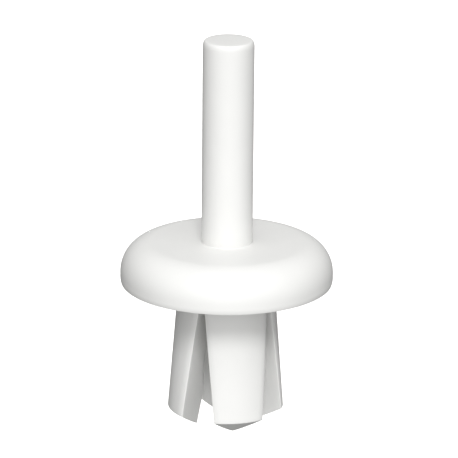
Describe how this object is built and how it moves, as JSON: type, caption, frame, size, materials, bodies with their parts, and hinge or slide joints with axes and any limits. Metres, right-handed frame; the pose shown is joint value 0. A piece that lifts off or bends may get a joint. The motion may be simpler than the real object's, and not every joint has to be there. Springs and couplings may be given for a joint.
{
  "type": "wall anchor",
  "caption": "Push-in plastic wall anchor with a domed head, splayed expansion legs and a drive pin that is hammered down through the head to spread the legs.",
  "frame": {"origin": "centre of the head's underside, in the plane that seats on the wall", "axes": "+Z out of the wall along the drive pin, -Y towards the front leg, +X towards the right leg"},
  "size_m": [0.0125, 0.0124, 0.0235],
  "materials": {
    "sleeve_polyamide": "white polyamide, injection moulded, satin",
    "pin_polyamide": "white polyamide, injection moulded, satin"
  },
  "bodies": {
    "sleeve": {"head": "sleeve_polyamide", "break_web": "sleeve_polyamide"},
    "pin": {"drive_pin": "pin_polyamide"},
    "leg_front": {"leg_front": "sleeve_polyamide"},
    "leg_right": {"leg_right": "sleeve_polyamide"},
    "leg_back": {"leg_back": "sleeve_polyamide"},
    "leg_left": {"leg_left": "sleeve_polyamide"}
  },
  "joints": [
    {"name": "pin_drive", "type": "slide", "parent": "sleeve", "child": "pin", "axis": [0, 0, -1], "range_m": [0, 0.0122]},
    {"name": "leg_front_flex", "type": "hinge", "parent": "sleeve", "child": "leg_front", "pos_m": [0, -0.00286, -0.0005], "axis": [-1, 0, 0], "range_deg": [0, 3]},
    {"name": "leg_right_flex", "type": "hinge", "parent": "sleeve", "child": "leg_right", "pos_m": [0.00286, 0, -0.0005], "axis": [0, -1, 0], "range_deg": [0, 3]},
    {"name": "leg_back_flex", "type": "hinge", "parent": "sleeve", "child": "leg_back", "pos_m": [0, 0.00286, -0.0005], "axis": [1, 0, 0], "range_deg": [0, 3]},
    {"name": "leg_left_flex", "type": "hinge", "parent": "sleeve", "child": "leg_left", "pos_m": [-0.00286, 0, -0.0005], "axis": [0, 1, 0], "range_deg": [0, 3]}
  ],
  "couplings": [
    {"joint": "leg_front_flex", "follows": "pin_drive", "rad_per_m": 4.29},
    {"joint": "leg_right_flex", "follows": "pin_drive", "rad_per_m": 4.29},
    {"joint": "leg_back_flex", "follows": "pin_drive", "rad_per_m": 4.29},
    {"joint": "leg_left_flex", "follows": "pin_drive", "rad_per_m": 4.29}
  ]
}
